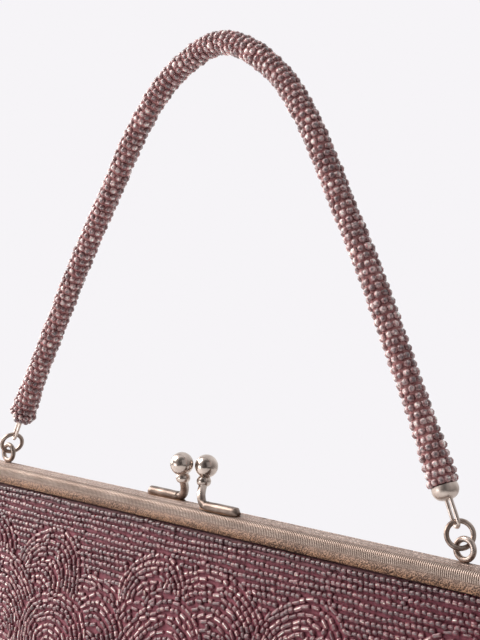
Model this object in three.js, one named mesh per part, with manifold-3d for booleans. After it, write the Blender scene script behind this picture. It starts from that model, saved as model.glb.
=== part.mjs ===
// A beaded evening bag: a two-part metal frame with a kiss clasp, a beaded pouch, and a bead
// rope handle hung from two soldered eyelets by jump rings. Millimetres, +Z up, front to -Y.
// The origin is the point under the top of the handle where the bag hangs.

import * as THREE from 'three';
import { LoftGeometry } from 'three/addons/geometries/LoftGeometry.js';
import { mergeVertices } from 'three/addons/utils/BufferGeometryUtils.js';
import Module from 'manifold-3d';

const wasm = await Module();
wasm.setup();

// Frame: two facing trays bent into a wide arch, with short side arms down to the hinges
const frameLength = 236;
const frameDepth = 9.2;
const faceHeight = 6.3;
const plateThickness = 0.8;
const splitGap = 0.3;
const edgeRadius = 1.3;
const cornerRadius = 8;
const hingeDrop = 50;

// Hinges: one ear from each half, side by side, on a plain headed pin
const earRadius = 3.2;
const pinRadius = 1;
const pinHeadRadius = 2;
const pinHeadThickness = 0.8;

// Kiss clasp: a ball, collar, stem and foot in one piece on each half
const ballDiameter = 7.4;
const ballSpacing = 7.76;
const ballLineAngle = 42;
const ballHeight = 12.3;
const collarDiameter = 4.5;
const collarHeight = 2.9;
const stemDiameter = 2.7;
const footLength = 15;
const footOutset = 6.2;
const footInset = 0.55;
const claspShift = -1.5;

// Eyelets and jump rings
const eyeletInset = 10.7;
const eyeletDiameter = 7.3;
const eyeletWire = 1.7;
const ringDiameter = 8.8;
const ringWire = 1.45;

// Handle: a rope covered in beads, with a cap and a wire bail at each end
const handleDiameter = 8.04;
const handleTop = 144.4;
const handlePullAngle = 26;
const capDiameter = 7.6;
const capHeight = 4.2;
const bailWire = 1.1;
const bailWidth = 4.4;
const bailLength = 8;
const bailTwist = -9;
const bailTaper = 0.9;

// Pouch: beaded cloth, open at its rim inside the frame
const pouchWidth = 240;
const pouchDrop = 156;
const pouchBelly = 31;
const pouchStart = 10.4;
const pouchFullest = 95;
const pouchBottomRadius = 36;
const clothWall = 2;
const rimWall = 1.2;
const seamDepth = 4.6;
const seamAllowance = 6;
const sideRounding = 0.5;
const sideFullness = 2.6;
const bellyFullness = 0.7;
const bottomFullness = 2.2;
const flareDepth = 1.5;

// Running gap between neighbouring pieces
const gap = 0.3;

// How finely round shapes are cut
const wireSides = 6;
const ringSides = 16;
const ropeSides = 12;
const ropeSteps = 44;
const claspSteps = 22;
const bailSteps = 26;
const edgeSteps = 3;
const ballSides = 20;
const arcSteps = 6;
const pouchColumns = 18;
const pouchUpperRows = 6;
const pouchLowerRows = 11;

// The handle's route, from its end by the frame to its top: shares of its half span and its rise
const handleRoute = [
  { out: 1, up: 0 },
  { out: 0.912, up: 0.132 },
  { out: 0.835, up: 0.240 },
  { out: 0.686, up: 0.446 },
  { out: 0.537, up: 0.632 },
  { out: 0.410, up: 0.787 },
  { out: 0.276, up: 0.904 },
  { out: 0.127, up: 0.975 },
  { out: 0, up: 1 },
];

// The bend of a clasp arm between its foot and its collar: shares of the stem's radius along and
// up, and of the foot's distance from the split between the halves
const heelRoute = [
  { along: 2, across: 1, up: 0 },
  { along: 0.4, across: 0.9, up: 0.55 },
  { along: -0.7, across: 0.6, up: 2.2 },
];

// The cup at each end of the handle: shares of its radius and its height
const capProfile = [
  { across: 0, up: 0 },
  { across: 0.55, up: 0.06 },
  { across: 0.86, up: 0.26 },
  { across: 1, up: 0.58 },
  { across: 0.97, up: 1 },
  { across: 0, up: 1 },
];

// How each side's jump ring is turned about the line of pull, in degrees
const ringTurn = { left: 19, right: 140 };

// Worked out from the sizes above
const halfLength = frameLength / 2;
const halfDepth = frameDepth / 2;
const eyeletPlane = halfDepth / 2;
const eyeletOut = halfLength - cornerRadius - eyeletInset;
const armDrop = hingeDrop - earRadius - gap;
const pull = THREE.MathUtils.degToRad(handlePullAngle);
const eyeletRadius = (eyeletDiameter - eyeletWire) / 2;
const ringRadius = (ringDiameter - ringWire) / 2;
const eyeletRise = eyeletDiameter / 2 - gap / 2;
const eyeletPlay = eyeletRadius - eyeletWire / 2 - ringWire / 2;
const ringFromEyelet = ringRadius + eyeletPlay / 3;
const bailFromEyelet = ringFromEyelet + ringRadius - ringWire / 2 - gap - bailWire / 2;
const capFromEyelet = bailFromEyelet - bailWire / 2 + bailLength;
const ropeFromEyelet = capFromEyelet + capHeight + gap;
const ropeEndOut = eyeletOut - ropeFromEyelet * Math.sin(pull);
const ropeEndRise = eyeletRise + ropeFromEyelet * Math.cos(pull);
const hangRise = handleTop - handleDiameter / 2;

const finishes = {
  frame: { color: 0xa89a8a, roughness: 0.42, metalness: 1 },
  polished: { color: 0xc9c2b8, roughness: 0.16, metalness: 1 },
  beads: { color: 0x6b4650, roughness: 0.35, metalness: 0 },
  cloth: { color: 0x54303c, roughness: 0.5, metalness: 0 },
};

// One closed body with shared vertices, no empty triangles and its faces pointing out
function closedBody(geometry) {
  const bare = geometry.index ? geometry.toNonIndexed() : geometry.clone();
  bare.deleteAttribute('normal');
  bare.deleteAttribute('uv');
  const merged = mergeVertices(bare, 1e-4);
  const corners = merged.index.array;
  const point = (i) => new THREE.Vector3().fromBufferAttribute(merged.attributes.position, i);
  const kept = [];
  let volume = 0;
  for (let i = 0; i < corners.length; i += 3) {
    const [a, b, c] = [corners[i], corners[i + 1], corners[i + 2]];
    if (a === b || b === c || c === a) continue;
    kept.push(a, b, c);
    volume += point(a).dot(point(b).cross(point(c)));
  }
  merged.setIndex(volume < 0 ? kept.reverse() : kept);
  return merged;
}

function toSolid(geometry) {
  const body = closedBody(geometry);
  return new wasm.Manifold(new wasm.Mesh({
    numProp: 3,
    vertProperties: new Float32Array(body.attributes.position.array),
    triVerts: new Uint32Array(body.index.array),
  }));
}

function fromSolid(solid) {
  const mesh = solid.getMesh();
  const geometry = new THREE.BufferGeometry();
  geometry.setAttribute('position', new THREE.BufferAttribute(mesh.vertProperties, 3));
  geometry.setIndex(new THREE.BufferAttribute(mesh.triVerts, 1));
  return geometry;
}

const joined = (geometries) => fromSolid(geometries.map(toSolid).reduce((a, b) => a.add(b)));

function piece(name, geometry, finish) {
  const body = closedBody(geometry);
  body.computeVertexNormals();
  const mesh = new THREE.Mesh(body, new THREE.MeshStandardMaterial(finishes[finish]));
  mesh.name = name;
  return mesh;
}

function roundSection(radius, sides) {
  const shape = new THREE.Shape();
  for (let i = 0; i < sides; i += 1) {
    const angle = (2 * Math.PI * i) / sides;
    const [x, y] = [radius * Math.cos(angle), radius * Math.sin(angle)];
    if (i === 0) shape.moveTo(x, y);
    else shape.lineTo(x, y);
  }
  shape.closePath();
  return shape;
}

// A round bar or rope along a smooth curve through the points
function barAlong(points, radius, sides, steps) {
  const extrudePath = new THREE.CatmullRomCurve3(points, false, 'centripetal');
  return new THREE.ExtrudeGeometry(roundSection(radius, sides), { steps, extrudePath });
}

// The arch of the frame seen from the front: points on its outer edge and their outward normals
function archStations() {
  const stations = [];
  const addStation = (x, z, angle) => {
    stations.push({ x, z, out: new THREE.Vector3(Math.cos(angle), 0, Math.sin(angle)) });
  };
  addStation(-halfLength, -armDrop, Math.PI);
  for (const side of [-1, 1]) {
    for (let i = 0; i <= arcSteps; i += 1) {
      const turned = (i / arcSteps) * (Math.PI / 2);
      const angle = side < 0 ? Math.PI - turned : Math.PI / 2 - turned;
      addStation(
        side * (halfLength - cornerRadius) + cornerRadius * Math.cos(angle),
        -cornerRadius + cornerRadius * Math.sin(angle),
        angle,
      );
    }
  }
  addStation(halfLength, -armDrop, 0);
  return stations;
}

// The section of one half: the top plate, a rounded front edge and the face below it
function traySection() {
  const section = [{ depth: splitGap / 2, inward: 0 }];
  for (let i = 0; i <= edgeSteps; i += 1) {
    const angle = (i / edgeSteps) * (Math.PI / 2);
    section.push({
      depth: halfDepth - edgeRadius + edgeRadius * Math.sin(angle),
      inward: edgeRadius - edgeRadius * Math.cos(angle),
    });
  }
  section.push({ depth: halfDepth, inward: faceHeight });
  section.push({ depth: halfDepth - plateThickness, inward: faceHeight });
  section.push({ depth: halfDepth - plateThickness, inward: edgeRadius });
  section.push({ depth: halfDepth - edgeRadius, inward: plateThickness });
  section.push({ depth: splitGap / 2, inward: plateThickness });
  return section;
}

function trayGeometry(front) {
  const corners = front < 0 ? traySection() : traySection().reverse();
  const sections = archStations().map((station) => corners.map((corner) => (
    new THREE.Vector3(station.x, front * corner.depth, station.z)
      .addScaledVector(station.out, -corner.inward)
  )));
  return new LoftGeometry(sections, { capStart: true, capEnd: true });
}

// An ear in the plane of the side arm: a disc round the hinge and a neck up to the arm
function earGeometry(side, front, innerX, outerX) {
  const neckTop = -armDrop + 2 * plateThickness;
  const shape = new THREE.Shape();
  shape.moveTo(front * halfDepth, neckTop);
  shape.lineTo(front * splitGap / 2, neckTop);
  shape.lineTo(front * splitGap / 2, -armDrop);
  shape.lineTo(0, -armDrop + gap / 2);
  const start = Math.PI / 2;
  for (let i = 0; i <= 3 * arcSteps; i += 1) {
    const angle = start + (front * 1.5 * Math.PI * i) / (3 * arcSteps);
    shape.lineTo(earRadius * Math.cos(angle), -hingeDrop + earRadius * Math.sin(angle));
  }
  shape.closePath();
  const geometry = new THREE.ExtrudeGeometry(shape, {
    depth: outerX - innerX,
    bevelEnabled: false,
  });
  const basis = new THREE.Matrix4().makeBasis(
    new THREE.Vector3(0, 1, 0),
    new THREE.Vector3(0, 0, 1),
    new THREE.Vector3(1, 0, 0),
  );
  geometry.applyMatrix4(basis);
  geometry.translate(side > 0 ? innerX : -outerX, 0, 0);
  return geometry;
}

const outerEar = { inner: halfLength - plateThickness, outer: halfLength };
const innerEar = {
  inner: outerEar.inner - gap - plateThickness,
  outer: outerEar.inner - gap,
};

function pinHole(side) {
  const hole = new THREE.CylinderGeometry(pinRadius + gap, pinRadius + gap, 8 * plateThickness, ropeSides);
  hole.rotateZ(Math.PI / 2);
  hole.translate(side * outerEar.inner, 0, -hingeDrop);
  return hole;
}

// The back half's ear sits inside the front half's, joined to its arm by a short block
function earBlock(side) {
  const width = outerEar.outer - innerEar.inner;
  const block = new THREE.BoxGeometry(width, halfDepth - splitGap / 2, 2 * plateThickness);
  block.translate(
    side * (innerEar.inner + width / 2),
    (halfDepth + splitGap / 2) / 2,
    -armDrop + plateThickness,
  );
  return block;
}

// A clasp arm: its foot lies along the half's top, its stem crosses to the other half's ball
function claspArm(front) {
  const angle = THREE.MathUtils.degToRad(ballLineAngle);
  const half = ballSpacing / 2;
  const ball = new THREE.Vector3(
    claspShift - front * half * Math.cos(angle),
    -front * half * Math.sin(angle),
    ballHeight,
  );
  const toward = -front;
  const footX = claspShift + toward * footOutset;
  const footY = front * halfDepth * footInset;
  const barRadius = stemDiameter / 2;
  const footZ = barRadius - gap;
  const collar = new THREE.Vector3(
    ball.x + toward * barRadius / 2,
    ball.y / 3,
    ballHeight - ballDiameter / 2 - collarHeight / 3,
  );
  const foot = [footLength + barRadius, footLength / 2].map((along) => (
    new THREE.Vector3(footX + toward * along, footY, footZ)
  ));
  const heel = heelRoute.map(({ along, across, up }) => new THREE.Vector3(
    footX + toward * along * barRadius,
    footY * across,
    footZ + up * barRadius,
  ));
  const collarBody = new THREE.SphereGeometry(collarDiameter / 2, ringSides, ringSides / 2);
  collarBody.scale(1, 1, collarHeight / collarDiameter);
  collarBody.translate(collar.x, collar.y, collar.z);
  const ballBody = new THREE.SphereGeometry(ballDiameter / 2, ballSides, 2 * ballSides / 3);
  ballBody.translate(ball.x, ball.y, ball.z);
  const bar = barAlong([...foot, ...heel, collar, ball], barRadius, ropeSides, claspSteps);
  return [bar, collarBody, ballBody];
}

function eyelet(side) {
  const ring = new THREE.TorusGeometry(eyeletRadius, eyeletWire / 2, wireSides, ringSides);
  ring.rotateX(Math.PI / 2);
  ring.translate(side * eyeletOut, eyeletPlane, eyeletRise);
  return ring;
}

function frameHalf(name, front, ears, extras) {
  const parts = [trayGeometry(front), ...claspArm(front), ...extras];
  for (const side of [-1, 1]) parts.push(earGeometry(side, front, ears.inner, ears.outer));
  let body = parts.map(toSolid).reduce((a, b) => a.add(b));
  for (const side of [-1, 1]) body = body.subtract(toSolid(pinHole(side)));
  return piece(name, fromSolid(body), 'frame');
}

function hingePin(name, side) {
  const inner = innerEar.inner - gap;
  const outer = outerEar.outer + gap;
  const profile = [
    [0, inner - pinHeadThickness],
    [pinHeadRadius, inner - pinHeadThickness],
    [pinHeadRadius, inner],
    [pinRadius, inner],
    [pinRadius, outer],
    [pinHeadRadius, outer],
    [pinHeadRadius, outer + pinHeadThickness],
    [0, outer + pinHeadThickness],
  ].map(([radius, along]) => new THREE.Vector2(radius, along));
  const pin = new THREE.LatheGeometry(profile, ropeSides);
  pin.rotateZ(-side * Math.PI / 2);
  pin.translate(0, 0, -hingeDrop);
  return piece(name, pin, 'polished');
}

// The line of pull from an eyelet to the handle, and the two directions across it
function pullFrame(side, turn) {
  const along = new THREE.Vector3(-side * Math.sin(pull), 0, Math.cos(pull));
  const across = new THREE.Vector3(0, 1, 0).applyAxisAngle(along, side * turn);
  const normal = new THREE.Vector3().crossVectors(across, along);
  const eye = new THREE.Vector3(side * eyeletOut, eyeletPlane, eyeletRise);
  return { along, across, normal, at: (distance) => eye.clone().addScaledVector(along, distance) };
}

function jumpRing(name, side, turn) {
  const { along, across, normal, at } = pullFrame(side, turn);
  const ring = new THREE.TorusGeometry(ringRadius, ringWire / 2, wireSides, ringSides);
  const mesh = piece(name, ring, 'polished');
  mesh.quaternion.setFromRotationMatrix(new THREE.Matrix4().makeBasis(across, along, normal));
  mesh.position.copy(at(ringFromEyelet));
  return mesh;
}

// The cap that closes an end of the rope, with its wire bail soldered in below it
function handleCap(name, side, turn) {
  const twist = THREE.MathUtils.degToRad(bailTwist);
  const { along, normal, at } = pullFrame(side, turn - twist);
  const bottom = at(capFromEyelet);
  const radius = capDiameter / 2;
  const profile = capProfile.map((row) => (
    new THREE.Vector2(row.across * radius, row.up * capHeight)
  ));
  const cup = new THREE.LatheGeometry(profile, ringSides);
  cup.applyQuaternion(new THREE.Quaternion().setFromUnitVectors(new THREE.Vector3(0, 1, 0), along));
  cup.translate(bottom.x, bottom.y, bottom.z);
  const bend = (bailWidth - bailWire) / 2;
  const centre = at(bailFromEyelet + bend);
  const rooted = at(capFromEyelet + capHeight / 2);
  const loop = [rooted.clone().addScaledVector(normal, bend * bailTaper)];
  for (let i = 0; i <= arcSteps; i += 1) {
    const angle = (Math.PI * i) / arcSteps;
    loop.push(centre.clone()
      .addScaledVector(normal, bend * Math.cos(angle))
      .addScaledVector(along, -bend * Math.sin(angle)));
  }
  loop.push(rooted.clone().addScaledVector(normal, -bend * bailTaper));
  return piece(name, joined([cup, barAlong(loop, bailWire / 2, wireSides, bailSteps)]), 'polished');
}

function handle() {
  const rise = handleTop - ropeEndRise;
  const place = (side, { out, up }) => (
    new THREE.Vector3(side * out * ropeEndOut, eyeletPlane, ropeEndRise + up * rise)
  );
  const left = handleRoute.map((row) => place(-1, row));
  const right = handleRoute.slice(0, -1).reverse().map((row) => place(1, row));
  const rope = barAlong([...left, ...right], handleDiameter / 2, ropeSides, ropeSteps);
  return piece('handle', rope, 'beads');
}

// Half the depth of the cloth inside the frame, how far down the pouch is clear of the hinges,
// and how far it has widened there
const held = halfDepth - plateThickness - gap;
const clearOfEars = hingeDrop + earRadius + gap;
const widened = (down) => (
  THREE.MathUtils.smoothstep(down, clearOfEars, clearOfEars * flareDepth)
);

// Half the pouch's width at a height below the frame's top: inside the frame's rounded corners
// and arms, then out past the hinges, and in again round the bottom corners
function pouchHalfWidth(down) {
  const insideArms = innerEar.inner - 2 * gap - pinHeadThickness;
  const corner = cornerRadius - plateThickness - gap;
  const toCorner = Math.max(0, cornerRadius - down);
  const topWidth = insideArms - corner + Math.sqrt(Math.max(0, corner ** 2 - toCorner ** 2));
  const width = topWidth + (pouchWidth / 2 - insideArms) * widened(down);
  const toBottom = Math.max(0, down - (pouchDrop - pouchBottomRadius));
  const cutIn = pouchBottomRadius - Math.sqrt(Math.max(0, pouchBottomRadius ** 2 - toBottom ** 2));
  return width - cutIn;
}

// Half the pouch's depth on its centre line: it swells from the frame to where it is fullest,
// and rounds in to the seam along the bottom
function pouchHalfDepth(down) {
  if (down < pouchFullest) {
    const share = (down - faceHeight) / (pouchFullest - faceHeight);
    return (pouchStart + (pouchBelly - pouchStart) * Math.sin(share * Math.PI / 2)) / 2;
  }
  const share = Math.min(1, (down - pouchFullest) / (pouchDrop - pouchFullest));
  return (pouchBelly / 2) * (1 - share ** bottomFullness) ** (1 / bottomFullness);
}

// A closed section of the pouch: flat near its sides where the frame's arms hold it, pinched to
// a seam below them, and bellied between. Its inner face is drawn in by the wall
function pouchRing(down, halfBelly, wall, lift = 0) {
  const edge = Math.min(THREE.MathUtils.lerp(held, seamDepth / 2, widened(down)), halfBelly);
  const halfWidth = pouchHalfWidth(down);
  const besideFace = Math.min(halfLength - faceHeight - gap, halfWidth - gap);
  const besideSeam = halfWidth - seamAllowance;
  const flatFrom = THREE.MathUtils.lerp(besideFace, besideSeam, widened(down));
  const sideWall = THREE.MathUtils.lerp(wall, seamAllowance, widened(down));
  const drawnIn = wall > 0 ? (halfWidth - sideWall) / halfWidth : 1;
  const ring = [];
  const addPoint = (front, across, depth) => {
    ring.push(new THREE.Vector3(across * drawnIn, front * Math.max(0, depth - wall), -down + lift));
  };
  for (const front of [-1, 1]) {
    addPoint(front, front * halfWidth, edge * sideRounding + wall * (1 - sideRounding));
    for (let i = 0; i <= pouchColumns; i += 1) {
      const share = Math.sin((i / pouchColumns - 0.5) * Math.PI);
      const swell = Math.max(0, 1 - Math.abs(share) ** sideFullness) ** bellyFullness;
      addPoint(front, -front * share * flatFrom, edge + (halfBelly - edge) * swell);
    }
    addPoint(front, -front * halfWidth, edge * sideRounding + wall * (1 - sideRounding));
  }
  return ring;
}

function pouch() {
  const rimTop = plateThickness + gap;
  const rimRows = [rimTop, (rimTop + faceHeight) / 2, faceHeight + gap];
  const bodyRows = [];
  for (let i = 0; i <= pouchUpperRows; i += 1) {
    const from = faceHeight + 4 * gap;
    bodyRows.push(from + (clearOfEars - from) * (i / pouchUpperRows));
  }
  for (let i = 1; i <= pouchLowerRows; i += 1) {
    const share = Math.sin((i / pouchLowerRows) * (Math.PI / 2));
    bodyRows.push(clearOfEars + (pouchDrop - clearOfEars) * share);
  }
  const outer = [
    ...rimRows.map((down) => pouchRing(down, held, 0)),
    ...bodyRows.map((down) => pouchRing(down, pouchHalfDepth(down), 0)),
  ];
  const lift = (down) => clothWall * (down - faceHeight) / (pouchDrop - faceHeight);
  const inner = [
    ...rimRows.map((down) => pouchRing(down, held, rimWall)),
    ...bodyRows.map((down) => pouchRing(down, pouchHalfDepth(down), clothWall, lift(down))),
  ];
  return piece('pouch', new LoftGeometry([...inner.reverse(), ...outer]), 'cloth');
}

const bag = new THREE.Group();
bag.add(frameHalf('frame_front', -1, outerEar, []));
bag.add(frameHalf('frame_back', 1, innerEar, [eyelet(-1), eyelet(1), earBlock(-1), earBlock(1)]));
for (const [name, side] of [['left', -1], ['right', 1]]) {
  const turn = THREE.MathUtils.degToRad(ringTurn[name]);
  bag.add(hingePin(`hinge_pin_${name}`, side));
  bag.add(jumpRing(`jump_ring_${name}`, side, turn));
  bag.add(handleCap(`handle_cap_${name}`, side, turn));
}
bag.add(handle());
bag.add(pouch());
bag.position.set(0, -eyeletPlane, -hangRise);

const group = new THREE.Group();
group.add(bag);

export default group;
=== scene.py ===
# The look of a beaded evening bag: a nickel silver frame with a milled edge and a kiss clasp,
# a bead rope handle on jump rings, and a pouch sewn all over with glass beads in rows and shells.

import math

import bmesh
import bpy
import numpy as np
from mathutils import Matrix, Vector
from mathutils.bvhtree import BVHTree


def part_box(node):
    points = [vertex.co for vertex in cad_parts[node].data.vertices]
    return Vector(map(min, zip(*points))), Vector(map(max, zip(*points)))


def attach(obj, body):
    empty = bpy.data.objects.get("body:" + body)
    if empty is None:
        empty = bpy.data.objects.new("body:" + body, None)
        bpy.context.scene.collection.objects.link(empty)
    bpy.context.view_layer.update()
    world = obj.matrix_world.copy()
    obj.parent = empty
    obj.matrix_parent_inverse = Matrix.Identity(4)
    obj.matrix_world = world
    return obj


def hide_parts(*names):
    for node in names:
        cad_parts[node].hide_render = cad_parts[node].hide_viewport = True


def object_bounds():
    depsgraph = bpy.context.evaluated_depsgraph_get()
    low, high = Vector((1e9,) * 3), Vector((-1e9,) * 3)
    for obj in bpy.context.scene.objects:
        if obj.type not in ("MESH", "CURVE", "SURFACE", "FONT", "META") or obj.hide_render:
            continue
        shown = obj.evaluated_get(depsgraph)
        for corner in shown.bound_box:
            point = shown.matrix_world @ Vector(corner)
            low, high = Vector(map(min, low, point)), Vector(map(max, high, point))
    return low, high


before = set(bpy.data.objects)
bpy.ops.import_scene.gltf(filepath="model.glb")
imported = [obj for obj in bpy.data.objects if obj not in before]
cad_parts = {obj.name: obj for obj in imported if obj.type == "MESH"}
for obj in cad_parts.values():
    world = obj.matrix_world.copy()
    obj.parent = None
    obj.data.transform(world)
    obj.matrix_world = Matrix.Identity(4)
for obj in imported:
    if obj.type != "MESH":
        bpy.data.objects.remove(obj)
cad_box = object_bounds()

MM = 0.001

# Frame. Sizes here and below are in millimetres, unless a comment says otherwise
FRAME_DEPTH = 9.2
FACE_HEIGHT = 6.3
PLATE = 0.8
SPLIT_GAP = 0.3
SHOULDER = 2.0
LIP = 0.35
FACE_BULGE = 0.12
RIDGE_HEIGHT = 0.14
RIDGE_HALF_WIDTH = 0.22
CORNER_RADIUS = 8
HINGE_DROP = 50
EAR_RADIUS = 3.2
GAP = 0.3
EDGE_BEVEL = 0.12

# Milled edge: fine teeth across the shoulder, which start at an angle in radians from the top
MILL_PITCH = 0.66
TOOTH_WIDTH = 0.4
TOOTH_HEIGHT = 0.15
MILL_START = 0.5
MILL_FACE_REACH = 1.4

# Kiss clasp, with its line's angle in degrees and its foot's inset and swell as shares
BALL_DIAMETER = 7.4
BALL_SPACING = 7.76
BALL_LINE_ANGLE = 42
BALL_HEIGHT = 12.3
BACK_BALL_RISE = 0.35
COLLAR_DIAMETER = 4.6
COLLAR_HEIGHT = 3.4
STEM_DIAMETER = 2.7
FOOT_LENGTH = 15
FOOT_OUTSET = 6.2
FOOT_INSET = 0.55
FOOT_BEVEL = 1.3
FOOT_SWELL = 1.2
CLASP_SHIFT = -1.5
SOLDER_WIDTH = 3.3
SOLDER_HEIGHT = 0.28
# Heights over the frame between which the clasp's tarnish and painted shade give way to bright metal
TARNISH_AND_SHADE_FROM = 0.9
TARNISH_AND_SHADE_TO = 7

# Eyelets, jump rings, caps and bails, with their turns in degrees
EYELET_DIAMETER = 7.3
EYELET_WIRE = 1.7
RING_DIAMETER = 8.8
RING_WIRE = 1.45
CAP_DIAMETER = 7.6
CAP_HEIGHT = 4.2
BAIL_WIRE = 1.1
BAIL_WIDTH = 4.4
BAIL_LENGTH = 8
BAIL_TWIST = -9
PULL_ANGLE = 26
RING_TURN = {"left": 19, "right": 140}

# Handle
HANDLE_DIAMETER = 8.04
HANDLE_TOP = 144.4
ROUND_PITCH = 2.37
BEADS_APART = 1.8
HANDLE_BEAD = 2.3
HANDLE_BEAD_LENGTH = 1.98
HANDLE_TINTS = (2.0, 2.4)
STEP_UNEVEN = 0.06
LAY_UNEVEN = 0.08
LIFT_UNEVEN = 0.09
ROUND_UNEVEN = 0.08
SIZE_UNEVEN = 0.05
END_SWELL = 0.6
SWELL_LENGTH = 20
OVER_CAP = (
    # rounds over the left cap: distance past the rope's end, radius, whether on the inner side only
    (1.1, 3.8, False),
    (2.7, 3.5, True),
)
HANDLE_ROUTE = (
    # share of the half span, share of the rise
    (1, 0),
    (0.912, 0.132),
    (0.835, 0.240),
    (0.686, 0.446),
    (0.537, 0.632),
    (0.410, 0.787),
    (0.276, 0.904),
    (0.127, 0.975),
    (0, 1),
)

# Beads of length 1 and diameter 1: radius and place along the bead
ROUND_BEAD = ((0.27, -0.5), (0.47, -0.25), (0.5, 0.0), (0.47, 0.25), (0.27, 0.5))
CUT_BEAD = ((0.38, -0.5), (0.5, -0.34), (0.5, 0.34), (0.38, 0.5))

# Beads on the pouch: rows, shells, and how uneven they are by hand. Leans are shares or radians,
# and shades and tints lie between 0 and 1
ROW_PITCH = 2.1
BEAD_SPACING = 1.88
BEAD_DIAMETER = 1.76
BEAD_LENGTH = 1.8
FILLING_ROWS = 15
BUGLE_LENGTH = 3.2
SHELL_RADIUS = (13, 22)
SHELL_ACROSS = 26
SHELL_DOWN = 11
SHELL_TOP = 11.5
SHELL_SHIFT = 0.15
SHELL_ASIDE = 6
SHELL_DROP = 4
SHELL_ORDER = 12
SHELL_OVAL = (0.03, 0.1)
SHELL_LOBES = (0.02, 0.06)
LEAN_ACROSS = (-0.25, 0.25)
LEAN_DOWN = (0.05, 0.45)
FIRST_ROW = 2.1
# Painted shade on the straight rows, deepest on the first row under the frame's lip
FIRST_ROW_PAINTED_SHADE = -0.3
ROW_PAINTED_SHADE = -0.16
ROW_WAVE = 0.25
ROW_WANDER = 0.1
ROW_LEAN = 0.12
ROW_END = 0.8
SPACING_UNEVEN = (0.96, 1.06)
PITCH_UNEVEN = (0.97, 1.05)
ROW_BEAD = 0.95
SEW_IN = 0.26
BEAD_FLATNESS = 0.8
BEAD_ROLL = 0.2
BEAD_WANDER = 0.17
BEAD_LEAN = 0.16
BEAD_LIFT = 0.1
BEAD_SIZES = 0.06
BEAD_LENGTHS = 0.05
BEAD_TINTS = (1.6, 2.3)
ROUND_SHADE = 0.13
LONG_ROUNDS = 0.3
LONG_BEADS = 0.1
LONG_IN_PATCHES = 0.75
LONG_SHADE = 0.15
PATCH_EDGE = 0.4
FILL_STEP = 1.1
FILL_CLEARANCE = 1.5
FILL_WANDER = 0.4
FILL_SHADE = -0.05
EDGE_CLEARANCE = 0.7
BEAD_CLEARANCE = 1.4
BUGLE_WIDTH = 0.84
BUGLE_GAP = 0.1
FIRST_SHELLS = (
    # across, down and radius, each laid over the ones before it
    (14, 41, 28),
    (-38, 44, 22),
    (78, 44, 20),
    (-98, 31, 19),
    (-60, 29, 17),
    (-66, 37, 12),
    (-8, 26.5, 15),
    (-2, 30, 9),
    (-12, 40, 12.5),
    (-28, 50, 16),
    (54, 28, 16),
    (59, 35, 12),
    (100, 30, 18),
)

# Painted shade in a strip of the pouch under the frame: where it starts and is full, and how dark it gets
SHADE_DOWN = 4.5
SHADE_FULL = 0.8
SHADE_STRENGTH = 0.55

# Patterns in the materials, by the size of their marks, with the slant of the cuts in radians.
# Silk's threads are too fine to show, so the weave is drawn ten times as coarse
FLECK = 0.7692
WEAVE = 1.111
CUT_LENGTH = 1.6
CUT_WIDTH = 0.55
CUT_DEPTH = 0.16
CUT_SLANT = -0.7
STIPPLE = 0.4167
GRIME = 16.67
WEAR = 11.11
POLISH_CLOUD = 3.846
SATIN_CLOUD = 3.333
WIRE_CLOUD = 3.125

# Places that the frame gives
pin_low, pin_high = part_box("hinge_pin_left")
half_low, half_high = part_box("frame_front")
MIDDLE = (pin_low.y + pin_high.y) / 2
TOP = (pin_low.z + pin_high.z) / 2 + HINGE_DROP * MM
HALF_LENGTH = (half_high.x - half_low.x) / 2 / MM
HALF_DEPTH = FRAME_DEPTH / 2
ARM_DROP = HINGE_DROP - EAR_RADIUS - GAP


def place(x, y, z):
    """A point in millimetres from the middle of the frame's top, as a point in the part."""
    return Vector((x * MM, MIDDLE + y * MM, TOP + z * MM))


def colour(code):
    """An sRGB hex colour as linear values."""
    parts = [int(code[i:i + 2], 16) / 255 for i in (0, 2, 4)]
    linear = [c / 12.92 if c <= 0.04045 else ((c + 0.055) / 1.055) ** 2.4 for c in parts]
    return (*linear, 1.0)


# Materials

OF_COLOURS = {"data_type": "RGBA"}


def feed(tree, node, **links):
    """Gives a node's inputs links or values. i0 is the first input, and a name has _ for a blank."""
    for key, value in links.items():
        name = key.replace("_", " ")
        socket = node.inputs[int(name[1:])] if name[0] == "i" and name[1:].isdigit() else node.inputs[name]
        if isinstance(value, bpy.types.NodeSocket):
            tree.links.new(value, socket)
        else:
            socket.default_value = value


def add(tree, kind, settings=None, stops=(), **links):
    """Adds a node with its settings and inputs, and a colour ramp's stops of place and hex colour."""
    node = tree.nodes.new(kind)
    for name, value in (settings or {}).items():
        setattr(node, name, value)
    feed(tree, node, **links)
    if stops:
        elements = node.color_ramp.elements
        while len(elements) < len(stops):
            elements.new(0.5)
        for element, (position, code) in zip(elements, stops):
            element.position = position
            element.color = colour(code)
    return node


def to_the_metre(size):
    """The scale of a pattern whose marks have a size in millimetres."""
    return 1 / (size * MM)


def new_material(name):
    """An empty material: itself, its node tree, its shader, and the places on the object for its patterns."""
    material = bpy.data.materials.new(name)
    material.use_nodes = True
    tree = material.node_tree
    places = add(tree, "ShaderNodeTexCoord").outputs["Object"]
    return material, tree, tree.nodes["Principled BSDF"], places


def painted_shade_under_frame(tree, places, shade, dark):
    """A colour that darkens with painted shade in a strip of the pouch right under the frame."""
    axes = add(tree, "ShaderNodeSeparateXYZ", Vector=places)
    strip = add(
        tree, "ShaderNodeMapRange", i0=axes.outputs["Z"],
        i1=TOP - (FACE_HEIGHT + SHADE_DOWN) * MM, i2=TOP - (FACE_HEIGHT + SHADE_FULL) * MM,
        i3=0.0, i4=SHADE_STRENGTH,
    )
    return add(tree, "ShaderNodeMix", OF_COLOURS, i0=strip.outputs[0], i6=shade, i7=colour(dark)).outputs[2]


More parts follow.
